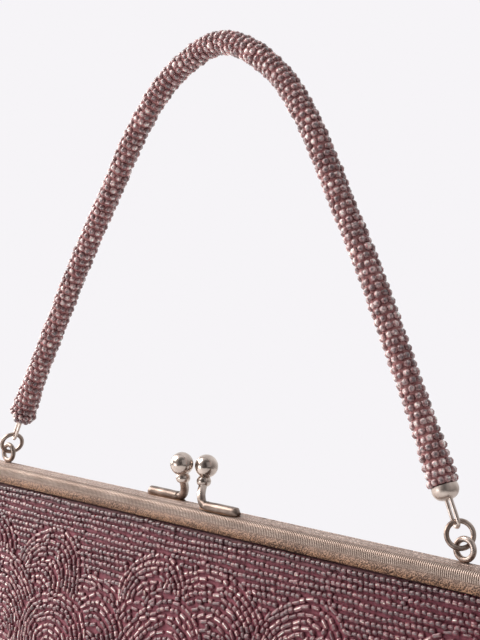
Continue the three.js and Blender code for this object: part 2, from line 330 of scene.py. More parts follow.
def glass_bead_material(name, streak, coat, linings_and_highlights, bodies, edge, flecks, shaded):
    """Drawn amethyst glass over a metal lining: dark with painted shade towards its sides, where it sits on
    the cloth or rope, a pale or smoky streak along the crown, which is the lining seen through the glass, its
    palest tints a painted highlight, and painted flecks of light and dark within, for light bent in it."""
    material, tree, shader, places = new_material(name)
    tint = add(tree, "ShaderNodeAttribute", {"attribute_name": "tint"}).outputs["Fac"]
    crown = add(tree, "ShaderNodeAttribute", {"attribute_name": "crown"}).outputs["Fac"]
    # Painted flecks of light and dark, for light bent in the glass
    glints = add(tree, "ShaderNodeTexNoise", Vector=places, Scale=to_the_metre(FLECK), Detail=1.0)
    spread = add(tree, "ShaderNodeMapRange", i0=glints.outputs[0], i1=0.3, i2=0.7, i3=-flecks, i4=flecks)
    tone = add(
        tree, "ShaderNodeMath", {"operation": "ADD", "use_clamp": True}, i0=tint, i1=spread.outputs[0],
    ).outputs[0]
    # The lining streak's palest tints are a painted highlight
    lining = add(tree, "ShaderNodeValToRGB", stops=linings_and_highlights, i0=tone).outputs[0]
    middle = add(tree, "ShaderNodeValToRGB", stops=bodies, i0=tone).outputs[0]
    # Painted shade: the bead darkens towards its sides, where it sits on the cloth or rope
    rim_shade = add(tree, "ShaderNodeMapRange", i0=crown, i1=0.0, i2=0.3).outputs[0]
    body = add(tree, "ShaderNodeMix", OF_COLOURS, i0=rim_shade, i6=colour(edge), i7=middle).outputs[2]
    line = add(tree, "ShaderNodeMapRange", i0=crown, i1=streak[0], i2=streak[1]).outputs[0]
    shade = add(tree, "ShaderNodeMix", OF_COLOURS, i0=line, i6=body, i7=lining).outputs[2]
    # Painted shade in the strip of the pouch under the frame
    if shaded:
        shade = painted_shade_under_frame(tree, places, shade, "381a22")
    feed(
        tree, shader, Base_Color=shade, Roughness=0.45, IOR=1.52, Coat_Weight=coat, Coat_Roughness=0.08,
        Subsurface_Weight=0.7, Subsurface_Radius=(1.0, 0.55, 0.6), Subsurface_Scale=1.1 * MM,
    )
    return material


def cloth_material(name, dark, light, shaded):
    """Closely woven silk under the beads: matt with a slight sheen."""
    material, tree, shader, places = new_material(name)
    weave = add(tree, "ShaderNodeTexNoise", Vector=places, Scale=to_the_metre(WEAVE), Detail=2.0)
    shade = add(
        tree, "ShaderNodeValToRGB", stops=((0.3, dark), (0.7, light)), i0=weave.outputs[0],
    ).outputs[0]
    # Painted shade in the strip of the pouch under the frame
    if shaded:
        shade = painted_shade_under_frame(tree, places, shade, "2b1519")
    feed(tree, shader, Base_Color=shade, Roughness=0.75, Sheen_Weight=0.3)
    return material


def engraved_metal_material():
    """Rolled nickel silver, engraved and gone warm with age: dark in the cuts, bright on the high lines.
    It is browner and darker low on the face: partly its patina, partly painted shade."""
    material, tree, shader, places = new_material("engraved_nickel_silver")
    axes = add(tree, "ShaderNodeSeparateXYZ", Vector=places)
    slanted = add(
        tree, "ShaderNodeMapping", {"vector_type": "TEXTURE"},
        Vector=places, Rotation=(0.0, CUT_SLANT, 0.0),
        Scale=(CUT_LENGTH * MM, CUT_WIDTH * MM, CUT_WIDTH * MM),
    )
    cuts = add(
        tree, "ShaderNodeTexNoise", Vector=slanted.outputs[0], Scale=1.0, Detail=3.0, Distortion=0.8,
    )
    stipple = add(tree, "ShaderNodeTexVoronoi", Vector=places, Scale=to_the_metre(STIPPLE))
    grime = add(tree, "ShaderNodeTexNoise", Vector=places, Scale=to_the_metre(GRIME), Detail=4.0)
    from_top = add(tree, "ShaderNodeMath", {"operation": "SUBTRACT"}, i0=TOP, i1=axes.outputs["Z"])
    out_by = add(tree, "ShaderNodeMath", {"operation": "ABSOLUTE"}, i0=axes.outputs["X"])
    from_side = add(
        tree, "ShaderNodeMath", {"operation": "SUBTRACT"}, i0=HALF_LENGTH * MM, i1=out_by.outputs[0],
    )
    inward = add(
        tree, "ShaderNodeMath", {"operation": "MINIMUM"}, i0=from_top.outputs[0], i1=from_side.outputs[0],
    )
    # Browner and darker low on the face: partly patina, partly painted shade
    low = add(
        tree, "ShaderNodeMapRange", i0=inward.outputs[0],
        i1=0.6 * SHOULDER * MM, i2=0.85 * FACE_HEIGHT * MM,
    )
    marks = add(tree, "ShaderNodeMath", {"operation": "ADD"}, i0=cuts.outputs[0], i1=stipple.outputs[0])
    dirt = add(tree, "ShaderNodeMath", {"operation": "MULTIPLY"}, i0=grime.outputs[0], i1=0.5)
    depth = add(tree, "ShaderNodeMath", {"operation": "ADD"}, i0=marks.outputs[0], i1=dirt.outputs[0])
    level = add(tree, "ShaderNodeMapRange", i0=depth.outputs[0], i1=0.75, i2=1.55).outputs[0]
    bright, aged_and_shaded = (
        add(tree, "ShaderNodeValToRGB", stops=stops, i0=level).outputs[0]
        for stops in (
            ((0.1, "5d4c45"), (0.45, "968279"), (0.9, "b8a69d")),
            ((0.1, "30231d"), (0.5, "553f35"), (0.9, "98765f")),
        )
    )
    worn_and_shaded = add(tree, "ShaderNodeMix", OF_COLOURS, i0=low.outputs[0], i6=bright, i7=aged_and_shaded).outputs[2]
    between_teeth = add(tree, "ShaderNodeAttribute", {"attribute_name": "mark"}).outputs["Fac"]
    shade = add(tree, "ShaderNodeMix", OF_COLOURS, i0=between_teeth, i6=worn_and_shaded, i7=colour("6c5c54")).outputs[2]
    bump = add(tree, "ShaderNodeBump", Strength=0.8, Distance=CUT_DEPTH * MM, Height=marks.outputs[0])
    feed(tree, shader, Base_Color=shade, Normal=bump.outputs[0], Metallic=0.85, Roughness=0.52)
    return material


def clouded_metal_material(name, cloud, detail, stops, metallic, roughness, smoothest=None):
    """Metal with a soft change of tone over it. With a smoothest roughness, its light places have that."""
    material, tree, shader, places = new_material(name)
    tone = add(tree, "ShaderNodeTexNoise", Vector=places, Scale=to_the_metre(cloud), Detail=detail).outputs[0]
    shade = add(tree, "ShaderNodeValToRGB", stops=stops, i0=tone).outputs[0]
    if smoothest is not None:
        roughness = add(
            tree, "ShaderNodeMapRange", i0=tone, i1=stops[0][0], i2=stops[-1][0], i3=roughness, i4=smoothest,
        ).outputs[0]
    feed(tree, shader, Base_Color=shade, Metallic=metallic, Roughness=roughness)
    return material


def polished_metal_material():
    """Turned and polished nickel: near mirror on the balls, dull and brown close to the frame, with tarnish
    and painted shade there.
    """
    material, tree, shader, places = new_material("polished_nickel")
    cloud = add(tree, "ShaderNodeTexNoise", Vector=places, Scale=to_the_metre(POLISH_CLOUD), Detail=3.0)
    bright, dull = (
        add(tree, "ShaderNodeValToRGB", stops=stops, i0=cloud.outputs[0]).outputs[0]
        for stops in (((0.35, "b0a29a"), (0.7, "d8cac2")), ((0.35, "54463f"), (0.7, "88786f")))
    )
    axes = add(tree, "ShaderNodeSeparateXYZ", Vector=places)
    # Dull and dark near the frame: tarnish, with painted shade
    above_tarnish_and_shade = add(
        tree, "ShaderNodeMapRange", i0=axes.outputs["Z"],
        i1=TOP + TARNISH_AND_SHADE_FROM * MM, i2=TOP + TARNISH_AND_SHADE_TO * MM,
    ).outputs[0]
    shade = add(tree, "ShaderNodeMix", OF_COLOURS, i0=above_tarnish_and_shade, i6=dull, i7=bright).outputs[2]
    rough = add(tree, "ShaderNodeMapRange", i0=above_tarnish_and_shade, i3=0.4, i4=0.2).outputs[0]
    feed(tree, shader, Base_Color=shade, Roughness=rough, Metallic=1.0)
    return material


def solder_material():
    """Old solder and brazing flux: dull copper brown."""
    material, tree, shader, _ = new_material("copper_brown_solder")
    feed(tree, shader, Base_Color=colour("7a5a44"), Metallic=0.7, Roughness=0.5)
    return material


pouch_glass = glass_bead_material(
    "smoky_amethyst_glass", (0.85, 0.96), 0.5,
    linings_and_highlights=((0.0, "5a4e51"), (0.35, "695d61"), (0.58, "847271"), (0.78, "c8b4a8"), (1.0, "fff8f0")),
    bodies=((0.0, "55262f"), (0.3, "64303a"), (0.5, "743d46"), (1.0, "88555d")),
    edge="66323c", flecks=0.25, shaded=True,
)
handle_glass = glass_bead_material(
    "dusty_amethyst_glass", (0.58, 0.92), 0.9,
    linings_and_highlights=((0.0, "56484d"), (0.4, "8f7e81"), (0.7, "cabab9"), (1.0, "fff6f0")),
    bodies=((0.0, "714748"), (0.5, "946869"), (1.0, "bd9292")),
    edge="4c2b2e", flecks=0.42, shaded=False,
)
silk = cloth_material("wine_silk_ground", "6c2c3c", "8b4352", True)
rope_silk = cloth_material("rose_silk_rope", "96585b", "b07c7a", False)
engraved = engraved_metal_material()
# The same metal on the milled teeth, lighter than the engraved face
milled = clouded_metal_material(
    "milled_nickel_silver", WEAR, 3.0, ((0.3, "ab998f"), (0.7, "cbbab0")), 0.9, 0.5,
)
polished = polished_metal_material()
# Pressed and burnished nickel of the caps and bails: pale with one broad soft highlight
satin = clouded_metal_material(
    "satin_nickel", SATIN_CLOUD, 2.0, ((0.3, "b4a59d"), (0.7, "dccfc7")), 1.0, 0.33,
)
# Drawn wire of the eyelets and rings, dulled by handling: soft highlights, brown in places
wire = clouded_metal_material(
    "dulled_nickel_silver", WIRE_CLOUD, 3.0, ((0.3, "7c6a61"), (0.5, "a4948b"), (0.7, "c4b5ad")),
    1.0, 0.42, smoothest=0.3,
)
solder = solder_material()


# Meshes


def loft(rings, ends=True):
    """Vertices and faces of a skin over closed rings of equal counts, with its ends closed."""
    rows, columns = len(rings), len(rings[0])
    points = [Vector(p) for ring in rings for p in ring]
    faces = []
    for i in range(rows - 1):
        for j in range(columns):
            k = (j + 1) % columns
            faces.append((i * columns + j, i * columns + k, (i + 1) * columns + k, (i + 1) * columns + j))
    if ends:
        faces.append(tuple(reversed(range(columns))))
        faces.append(tuple(range((rows - 1) * columns, rows * columns)))
    return points, faces


def circle(centre, side, other, radius, sides):
    """Points round a circle in the plane of two directions."""
    return [
        centre + side * radius * math.cos(a) + other * radius * math.sin(a)
        for a in np.linspace(0, 2 * math.pi, sides, endpoint=False)
    ]


def swept(path, sizes, sides, closed=False):
    """A round bar along a path of points, with its radius at each point."""
    path = [Vector(p) for p in path]
    count = len(path)
    tangents = []
    for i in range(count):
        after = path[(i + 1) % count] if closed or i < count - 1 else path[i]
        before = path[i - 1] if closed or i > 0 else path[i]
        tangents.append((after - before).normalized())
    side = tangents[0].orthogonal().normalized()
    rings = []
    for point, tangent, size in zip(path, tangents, sizes):
        side = (side - tangent * side.dot(tangent)).normalized()
        rings.append(circle(point, side, tangent.cross(side), size, sides))
    if closed:
        rings.append(rings[0])
    return loft(rings, ends=not closed)


def turned(profile, base, axis, sides):
    """A turned shape: a profile of (radius, height) pairs in millimetres about an axis."""
    axis = axis.normalized()
    side = axis.orthogonal().normalized()
    return loft([
        circle(base + axis * height * MM, side, axis.cross(side), max(radius, 0.001) * MM, sides)
        for radius, height in profile
    ])


def ball(centre, diameter, height, fullness, sides):
    """A turned ball, or a barrel where its fullness is under 1."""
    profile = [
        (diameter / 2 * math.sin(a) ** fullness, -height / 2 * math.cos(a))
        for a in np.linspace(0, math.pi, sides // 2 + 1)
    ]
    return turned(profile, centre, Vector((0, 0, 1)), sides)


def hoop(centre, across, along, radius, wire, steps, sides):
    """A round wire ring in the plane of two directions."""
    path = circle(centre, across, along, radius * MM, steps)
    return swept(path, [wire / 2 * MM] * steps, sides, closed=True)


def smooth_path(points, steps):
    """Points along a centripetal Catmull-Rom curve through the given ones."""
    points = [np.array(p, float) for p in points]
    points = [2 * points[0] - points[1], *points, 2 * points[-1] - points[-2]]
    path = []
    for p0, p1, p2, p3 in zip(points, points[1:], points[2:], points[3:]):
        d0, d1, d2 = (max(np.linalg.norm(b - a) ** 0.5, 1e-9) for a, b in ((p0, p1), (p1, p2), (p2, p3)))
        m1 = ((p1 - p0) / d0 - (p2 - p0) / (d0 + d1) + (p2 - p1) / d1) * d1
        m2 = ((p2 - p1) / d1 - (p3 - p1) / (d1 + d2) + (p3 - p2) / d2) * d1
        for t in np.linspace(0, 1, steps, endpoint=False):
            path.append(
                p1 + m1 * t + (3 * (p2 - p1) - 2 * m1 - m2) * t**2 + (2 * (p1 - p2) + m1 + m2) * t**3
            )
    path.append(points[-2])
    return np.array(path)


def bmesh_of(parts, label="mark"):
    """One bmesh of parts: points, faces and, where a part has them, a value for each point."""
    work = bmesh.new()
    layer = work.verts.layers.float.new(label)
    for points, faces, *values in parts:
        corners = [work.verts.new(p) for p in points]
        for face in faces:
            work.faces.new([corners[i] for i in face])
        if values:
            for corner, value in zip(corners, values[0]):
                corner[layer] = value
    return work


def make_piece(name, parts, material, slot, *nodes, sharp=40):
    """Joins parts into one mesh piece, smooth but for its sharp edges, and rides it on the bag."""
    work = bmesh_of(parts)
    bmesh.ops.remove_doubles(work, verts=work.verts, dist=2e-7)
    bmesh.ops.recalc_face_normals(work, faces=work.faces)
    mesh = bpy.data.meshes.new(name)
    work.to_mesh(mesh)
    work.free()
    mesh.shade_smooth()
    mesh.set_sharp_from_angle(angle=math.radians(sharp))
    mesh.materials.append(material)
    finish_piece(name, mesh, slot, *nodes)


def finish_piece(name, mesh, slot, *nodes):
    """Puts a mesh in the scene as a piece of the bag, in place of the nodes that it stands for."""
    piece = bpy.data.objects.new(name, mesh)
    bpy.context.collection.objects.link(piece)
    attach(piece, "root")
    if nodes:
        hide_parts(*nodes)


# Scattering small things over points


def scatter_tree():
    """A tree that sets one small thing on every point, turned to lie along the point's own directions."""
    tree = bpy.data.node_groups.new("small_things_on_points", "GeometryNodeTree")
    sockets = {"Points": "Geometry", "Small Thing": "Object", "Size": "Float", "Finish": "Material"}
    for name, kind in sockets.items():
        tree.interface.new_socket(name, in_out="INPUT", socket_type="NodeSocket" + kind)
    tree.interface.new_socket("Geometry", in_out="OUTPUT", socket_type="NodeSocketGeometry")
    given = tree.nodes.new("NodeGroupInput").outputs
    along, out, grow = (
        add(tree, "GeometryNodeInputNamedAttribute", {"data_type": "FLOAT_VECTOR"}, Name=key).outputs[0]
        for key in ("along", "out", "grow")
    )
    thing = add(tree, "GeometryNodeObjectInfo", Object=given["Small Thing"])
    lie = add(tree, "FunctionNodeAlignRotationToVector", {"axis": "X"}, Vector=along)
    turn = add(
        tree, "FunctionNodeAlignRotationToVector", {"axis": "Z", "pivot_axis": "X"},
        Rotation=lie.outputs[0], Vector=out,
    )
    size = add(tree, "ShaderNodeVectorMath", {"operation": "SCALE"}, Vector=grow, Scale=given["Size"])
    placed = add(
        tree, "GeometryNodeInstanceOnPoints", Points=given["Points"],
        Instance=thing.outputs["Geometry"], Rotation=turn.outputs[0], Scale=size.outputs[0],
    )
    real = add(tree, "GeometryNodeRealizeInstances", Geometry=placed.outputs[0])
    dressed = add(tree, "GeometryNodeSetMaterial", Geometry=real.outputs[0], Material=given["Finish"])
    add(tree, "NodeGroupOutput", Geometry=dressed.outputs[0])
    return tree


SCATTER = scatter_tree()


def spots_of(rows):
    """Spots for scattering, from one row of place, along, out, grow and tint for each."""
    return dict(zip(("place", "along", "out", "grow", "tint"), zip(*rows)))


def scatter(name, spots, thing, material, slot):
    """One mesh piece of small things, in millimetres, set on spots."""
    points = bpy.data.meshes.new(name + "_points")
    points.from_pydata([tuple(p) for p in spots["place"]], [], [])
    for key in ("along", "out", "grow"):
        values = points.attributes.new(key, "FLOAT_VECTOR", "POINT")
        values.data.foreach_set("vector", np.ascontiguousarray(spots[key], np.float32).ravel())
    values = points.attributes.new("tint", "FLOAT", "POINT")
    values.data.foreach_set("value", np.ascontiguousarray(spots["tint"], np.float32))
    holder = bpy.data.objects.new(name + "_holder", points)
    bpy.context.collection.objects.link(holder)
    modifier = holder.modifiers.new("scatter", "NODES")
    modifier.node_group = SCATTER
    inputs = {s.name: s.identifier for s in SCATTER.interface.items_tree if s.in_out == "INPUT"}
    modifier[inputs["Small Thing"]] = thing
    modifier[inputs["Size"]] = MM
    modifier[inputs["Finish"]] = material
    graph = bpy.context.evaluated_depsgraph_get()
    mesh = bpy.data.meshes.new_from_object(holder.evaluated_get(graph))
    mesh.name = name
    for key in ("along", "out", "grow"):
        if key in mesh.attributes:
            mesh.attributes.remove(mesh.attributes[key])
    bpy.data.objects.remove(holder)
    bpy.data.meshes.remove(points)
    finish_piece(name, mesh, slot)


def small_thing(name, parts):
    """A mesh object for scattering, kept out of the scene's own collection."""
    work = bmesh_of(parts, "crown")
    bmesh.ops.recalc_face_normals(work, faces=work.faces)
    mesh = bpy.data.meshes.new(name)
    work.to_mesh(mesh)
    work.free()
    mesh.shade_smooth()
    mesh.set_sharp_from_angle(angle=math.radians(65))
    return bpy.data.objects.new(name, mesh)


def bead_shape(name, sides, profile):
    """A drawn glass bead of diameter 1 and length 1 along X. Its crown, towards Z, is marked."""
    angles = np.linspace(0, 2 * math.pi, sides, endpoint=False) + math.pi / 2
    rings = [[(x, r * math.cos(a), r * math.sin(a)) for a in angles] for r, x in profile]
    crown = [max(0.0, math.sin(a)) * (2 * r) ** 2 for r, x in profile for a in angles]
    return small_thing(name, [(*loft(rings), crown)])


# Frame


def arch_stations():
    """Points along the frame's arch on its outer edge, with their outward directions."""
    stations = [(-HALF_LENGTH, -ARM_DROP, math.pi)]
    for side in (-1, 1):
        for turn in np.linspace(0, math.pi / 2, 13):
            angle = math.pi - turn if side < 0 else math.pi / 2 - turn
            stations.append((
                side * (HALF_LENGTH - CORNER_RADIUS) + CORNER_RADIUS * math.cos(angle),
                -CORNER_RADIUS + CORNER_RADIUS * math.sin(angle),
                angle,
            ))
    stations.append((HALF_LENGTH, -ARM_DROP, 0.0))
    return stations


def on_arch(station, front, depth, inward):
    """A point of the frame's section at a station of the arch."""
    x, z, angle = station
    return place(x - inward * math.cos(angle), front * depth, z - inward * math.sin(angle))


def on_shoulder(turn):
    """A point of the section on the rounded shoulder, at an angle from the top plate."""
    return HALF_DEPTH - SHOULDER + SHOULDER * math.sin(turn), SHOULDER - SHOULDER * math.cos(turn)


def frame_section():
    """Half the frame's section: top plate, raised line, shoulder, bulged face and rolled lip."""
    ridge = HALF_DEPTH - SHOULDER - RIDGE_HALF_WIDTH
    section = [(SPLIT_GAP / 2, EDGE_BEVEL), (SPLIT_GAP / 2 + EDGE_BEVEL, 0)]
    for along, up in ((-1, 0), (-0.5, 0.8), (0, 1), (0.5, 0.8), (1, 0)):
        section.append((ridge + along * RIDGE_HALF_WIDTH, -up * RIDGE_HEIGHT))
    section += [on_shoulder(turn) for turn in np.linspace(0.1, math.pi / 2, 8)]
    face = FACE_HEIGHT - SHOULDER - LIP
    for share in (0.2, 0.26, 0.5, 0.75, 1):
        section.append((HALF_DEPTH + FACE_BULGE * math.sin(share * math.pi), SHOULDER + share * face))
    for turn in np.linspace(0.4, math.pi, 5):
        section.append((HALF_DEPTH - LIP + LIP * math.cos(turn), FACE_HEIGHT - LIP + LIP * math.sin(turn)))
    inside = [(HALF_DEPTH - PLATE, SHOULDER), (HALF_DEPTH - SHOULDER, PLATE), (SPLIT_GAP / 2, PLATE)]
    return section + inside


def ear_parts(front, inner, outer):
    """Hinge ears at both ends of a half: a disc round the pin and a neck up to the arm."""
    parts = []
    for side in (-1, 1):
        profile = [
            (front * HALF_DEPTH, -ARM_DROP + 2 * PLATE),
            (front * SPLIT_GAP / 2, -ARM_DROP + 2 * PLATE),
            (front * SPLIT_GAP / 2, -ARM_DROP),
        ]
        for turn in np.linspace(0.15, 1.5 * math.pi, 22):
            angle = math.pi / 2 + front * turn
            profile.append((EAR_RADIUS * math.cos(angle), -HINGE_DROP + EAR_RADIUS * math.sin(angle)))
        rings = [[place(side * x, y, z) for y, z in profile] for x in (inner, outer)]
        parts.append(loft(rings))
    return parts


def frame_half(name, front, node, inner, outer):
    """One half of the frame, without its clasp arm."""
    section = frame_section()
    stations = arch_stations()
    rings = [[on_arch(s, front, d, i) for d, i in section] for s in stations]
    # The metal between the teeth is marked, since it is darker
    milled_part = [
        1.0 if d > HALF_DEPTH - SHOULDER * (1 - math.sin(MILL_START)) - 0.05
        and i < SHOULDER + MILL_FACE_REACH - 0.2 else 0.0
        for d, i in section
    ]
    parts = [(*loft(rings), milled_part * len(stations)), *ear_parts(front, inner, outer)]
    if inner < HALF_LENGTH - PLATE - GAP:
        for side in (-1, 1):
            low, high = -ARM_DROP, -ARM_DROP + 2 * PLATE
            corners = [
                [place(side * x, y, z) for y, z in (
                    (front * SPLIT_GAP / 2, low), (front * HALF_DEPTH, low),
                    (front * HALF_DEPTH, high), (front * SPLIT_GAP / 2, high),
                )]
                for x in (inner, HALF_LENGTH - 0.02)
            ]
            parts.append(loft(corners))
    make_piece(name, parts, engraved, "frame_metal", node, sharp=35)


outer_ear = (HALF_LENGTH - PLATE, HALF_LENGTH)
inner_ear = (outer_ear[0] - GAP - PLATE, outer_ear[0] - GAP)
frame_half("frame_half_front", -1, "frame_front", *outer_ear)
frame_half("frame_half_back", 1, "frame_back", *inner_ear)


def tooth():
    """One tooth of the milled edge, 1 wide along X, bent over the shoulder. Z points out of the arch."""
    turns = np.linspace(MILL_START, math.pi / 2, 6)
    route = [(*on_shoulder(turn), math.sin(turn), math.cos(turn)) for turn in turns]
    route.append((HALF_DEPTH + FACE_BULGE * 0.7, SHOULDER + MILL_FACE_REACH, 1, 0))
    rings = []
    for index, (depth, inward, lean_out, lean_up) in enumerate(route):
        rise = 0 if index in (0, len(route) - 1) else TOOTH_HEIGHT
        ring = []
        for across, up in ((-0.5, -0.1), (-0.22, rise), (0.22, rise), (0.5, -0.1)):
            ring.append((across * TOOTH_WIDTH, depth + up * lean_out, -inward + up * lean_up))
        rings.append(ring)
    return small_thing("tooth", [loft(rings)])


def milled_edge(name, front):
    """Teeth all along the shoulder of one half."""
    stations = arch_stations()
    rows = []
    for (x0, z0, a0), (x1, z1, a1) in zip(stations, stations[1:]):
        length = math.hypot(x1 - x0, z1 - z0)
        count = max(1, round(length / MILL_PITCH))
        for k in range(count):
            share = (k + 0.5) / count
            angle = a0 + (a1 - a0) * share
            spot = place(x0 + (x1 - x0) * share, 0, z0 + (z1 - z0) * share)
            out = Vector((math.cos(angle), 0, math.sin(angle)))
            rows.append((spot, Vector((0, front, 0)).cross(out), out, (1, 1, 1), 0.5))
    scatter(name, spots_of(rows), TOOTH, milled, "frame_metal")


TOOTH = tooth()
milled_edge("milled_edge_front", -1)
milled_edge("milled_edge_back", 1)


# Clasp


def clasp_arm(name, front):
    """A clasp arm: bevelled foot, bent stem, collar and ball, on a line of solder."""
    angle = math.radians(BALL_LINE_ANGLE)
    half = BALL_SPACING / 2
    ball_x = CLASP_SHIFT - front * half * math.cos(angle)
    ball_y = -front * half * math.sin(angle)
    toward = -front
    foot_x = CLASP_SHIFT + toward * FOOT_OUTSET
    foot_y = front * HALF_DEPTH * FOOT_INSET
    radius = STEM_DIAMETER / 2
    foot_z = radius - GAP
    ball_z = BALL_HEIGHT + (BACK_BALL_RISE if front > 0 else 0)
    collar = (
        ball_x + toward * radius / 3,
        ball_y / 2,
        ball_z - BALL_DIAMETER / 2 - COLLAR_HEIGHT / 4,
    )
    end_x = foot_x + toward * (FOOT_LENGTH + radius)
    route = [
        (end_x - toward * FOOT_BEVEL, foot_y, foot_z),
        (foot_x + toward * FOOT_LENGTH / 2, foot_y, foot_z),
        (foot_x + toward * 2 * radius, foot_y, foot_z),
        (foot_x + toward * 0.4 * radius, 0.9 * foot_y, foot_z + 0.55 * radius),
        (foot_x - toward * 0.7 * radius, 0.6 * foot_y, foot_z + 2.2 * radius),
        collar,
        (ball_x, ball_y, ball_z),
    ]
    path = [place(*p) for p in smooth_path(route, 7)]
    heel = abs(foot_x + toward * 2 * radius) * MM
    sizes = [radius * MM * (FOOT_SWELL if abs(p.x) > heel else 1) for p in path]
    path.insert(0, place(end_x, foot_y, foot_z - 0.42 * radius))
    sizes.insert(0, 0.6 * radius * MM)
    parts = [
        swept(path, sizes, 20),
        ball(place(*collar), COLLAR_DIAMETER, COLLAR_HEIGHT, 0.6, 28),
        ball(place(ball_x, ball_y, ball_z), BALL_DIAMETER, BALL_DIAMETER, 1, 40),
    ]
    make_piece(name, parts, polished, "polished_metal")
    middle = foot_x + toward * (FOOT_LENGTH + radius) / 2
    rings = []
    for share in np.linspace(-1, 1, 13):
        x = middle + share * (FOOT_LENGTH / 2 + 1.2)
        width = SOLDER_WIDTH / 2 * (1 - abs(share) ** 6) + 0.05
        width *= 1 + 0.12 * math.sin(9 * share + front)
        rings.append([
            place(x, foot_y - width, 0.01), place(x, foot_y + width, 0.01),
            place(x, foot_y + width * 0.75, SOLDER_HEIGHT), place(x, foot_y - width * 0.75, SOLDER_HEIGHT),
        ])
    make_piece(name + "_solder", [loft(rings)], solder, "frame_metal")


clasp_arm("clasp_arm_front", -1)
clasp_arm("clasp_arm_back", 1)


# Eyelets, jump rings, caps and bails

pull = math.radians(PULL_ANGLE)
eyelet_radius = (EYELET_DIAMETER - EYELET_WIRE) / 2
ring_radius = (RING_DIAMETER - RING_WIRE) / 2
eyelet_play = eyelet_radius - EYELET_WIRE / 2 - RING_WIRE / 2
ring_out = ring_radius + eyelet_play / 3
bail_out = ring_out + ring_radius - RING_WIRE / 2 - GAP - BAIL_WIRE / 2
cap_out = bail_out - BAIL_WIRE / 2 + BAIL_LENGTH
rope_out = cap_out + CAP_HEIGHT + GAP


def hardware(name, side):
    """The eyelet, jump ring, cap and bail at one end of the handle. Returns the rope's end."""
    along = Vector((-side * math.sin(pull), 0, math.cos(pull)))
    low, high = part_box("jump_ring_" + name)
    eye = (low + high) / 2 - along * ring_out * MM
    turn = math.radians(RING_TURN[name]) * side
    straight = Vector((1, 0, 0))
    up = Vector((0, 0, 1))
    make_piece(
        "eyelet_" + name,
        [hoop(eye, straight, up, eyelet_radius, EYELET_WIRE, 44, 14)],
        wire, "polished_metal",
    )
    across = Matrix.Rotation(turn, 3, along) @ Vector((0, 1, 0))
    make_piece(
        "ring_" + name,
        [hoop(eye + along * ring_out * MM, across, along, ring_radius, RING_WIRE, 52, 14)],
        wire, "polished_metal", "jump_ring_" + name,
    )
    twisted = turn - math.radians(BAIL_TWIST) * side
    across = Matrix.Rotation(twisted, 3, along) @ Vector((0, 1, 0))
    normal = across.cross(along)
    base = eye + along * cap_out * MM
    radius = CAP_DIAMETER / 2
    profile = [(0, 0)]
    for share in np.linspace(0.08, 1, 9):
        profile.append((
            radius * math.sin(share * math.pi / 2) ** 0.8,
            CAP_HEIGHT * 0.72 * (1 - math.cos(share * math.pi / 2)),
        ))
    profile += [
        (radius * 0.985, CAP_HEIGHT * 0.86),
        (radius * 0.96, CAP_HEIGHT * 0.97),
        (radius * 0.9, CAP_HEIGHT),
        (radius * 0.78, CAP_HEIGHT * 0.96),
        (0, CAP_HEIGHT * 0.9),
    ]
    bend = (BAIL_WIDTH - BAIL_WIRE) / 2 * MM
    centre = eye + along * (bail_out * MM + bend)
    root = eye + along * (cap_out + CAP_HEIGHT / 2) * MM
    loop = [root + normal * bend * 0.9]
    for angle in np.linspace(0, math.pi, 9):
        loop.append(centre + normal * bend * math.cos(angle) - along * bend * math.sin(angle))
    loop.append(root - normal * bend * 0.9)
    path = smooth_path(loop, 5)
    make_piece(
        "cap_" + name,
        [turned(profile, base, along, 36), swept(path, [BAIL_WIRE / 2 * MM] * len(path), 12)],
        satin, "polished_metal", "handle_cap_" + name,
    )
    return eye + along * rope_out * MM


rope_left = hardware("left", -1)
rope_right = hardware("right", 1)
for name in ("hinge_pin_left", "hinge_pin_right"):
    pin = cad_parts[name]
    pin.data.materials.clear()
    pin.data.materials.append(polished)


# Handle


def handle_route():
    """The rope's centre line, from its left end to its right end."""
    rise = TOP + HANDLE_TOP * MM - rope_left.z
    points = [
        (rope_left.x * out, rope_left.y, rope_left.z + up * rise) for out, up in HANDLE_ROUTE
    ]
    points += [
        (rope_right.x * out, rope_right.y, rope_right.z + up * rise)
        for out, up in reversed(HANDLE_ROUTE[:-1])
    ]
    return smooth_path(points, 24)


def swell(at, whole):
    """How much thicker the handle is at a place along it: it swells where its cord is tied into the caps."""
    near = max(0.0, 1 - min(at, whole - at) / SWELL_LENGTH)
    return END_SWELL * near * near * (3 - 2 * near)


def bead_round(picker, centre, tangent, radius, phase, inner_side=False):
    """One round of beads about the rope, or only the half of it on the loop's inner side at the left."""
    other = Vector((0, 1, 0))
    side = tangent.cross(other).normalized()
    count = round(2 * math.pi * radius / BEADS_APART)
    rows = []
    for j in range(count):
        angle = 2 * math.pi * (j + phase + STEP_UNEVEN * picker.standard_normal()) / count
        out = side * math.cos(angle) + other * math.sin(angle)
        lay = (tangent.cross(out) + tangent * LAY_UNEVEN * picker.standard_normal()).normalized()
        lift = radius + LIFT_UNEVEN * picker.standard_normal()
        along_by = ROUND_UNEVEN * picker.standard_normal()
        size = 1 + SIZE_UNEVEN * picker.standard_normal()
        tint = picker.beta(*HANDLE_TINTS)
        if inner_side and math.cos(angle) > 0.1:
            continue
        spot = centre + out * lift * MM + tangent * along_by * MM
        grow = (HANDLE_BEAD_LENGTH * size, HANDLE_BEAD * size, HANDLE_BEAD * size)
        rows.append((spot, lay, out, grow, tint))
    return rows


